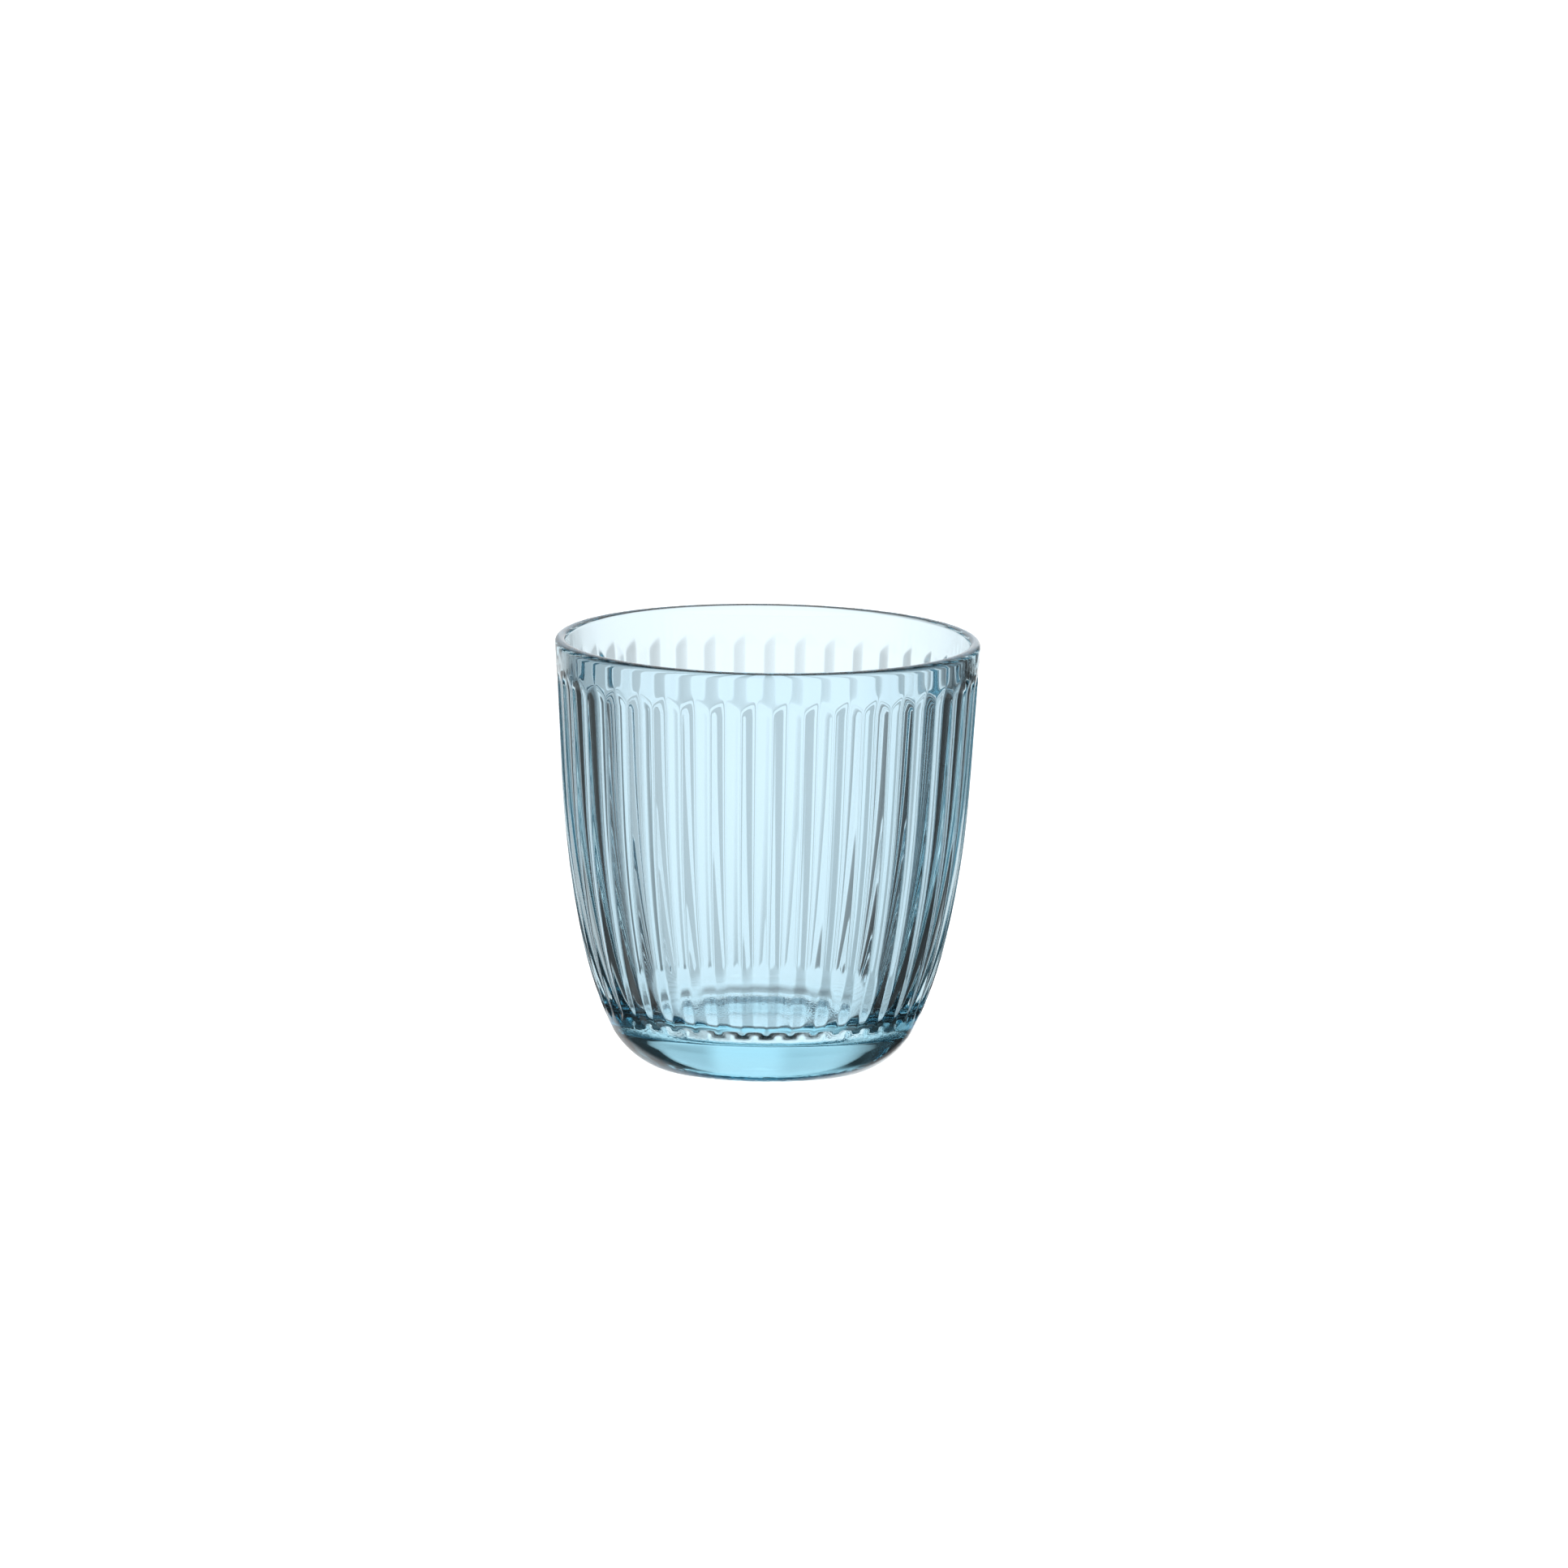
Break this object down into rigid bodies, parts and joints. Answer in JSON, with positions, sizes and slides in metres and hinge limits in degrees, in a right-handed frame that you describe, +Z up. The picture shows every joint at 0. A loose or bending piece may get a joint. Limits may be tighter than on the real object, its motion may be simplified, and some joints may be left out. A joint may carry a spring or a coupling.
{
  "type": "glass tumbler",
  "caption": "Low pressed-glass tumbler with upright flutes round a tapering body, a plain rounded lip and a thick smooth base. It also serves as a small flower vase.",
  "frame": {"origin": "centre of the circle that the foot ring stands on, at the level of the surface under it", "axes": "+Z up along the axis of the glass, from the base to the lip; +X points through a ridge between two flutes, and +Y through the middle of a flute"},
  "size_m": [0.0842, 0.0842, 0.085],
  "materials": {
    "tinted_glass": "pressed, fire-polished clear glass with a pale blue body tint"
  },
  "bodies": {
    "root": {"tumbler": "tinted_glass"}
  },
  "joints": []
}
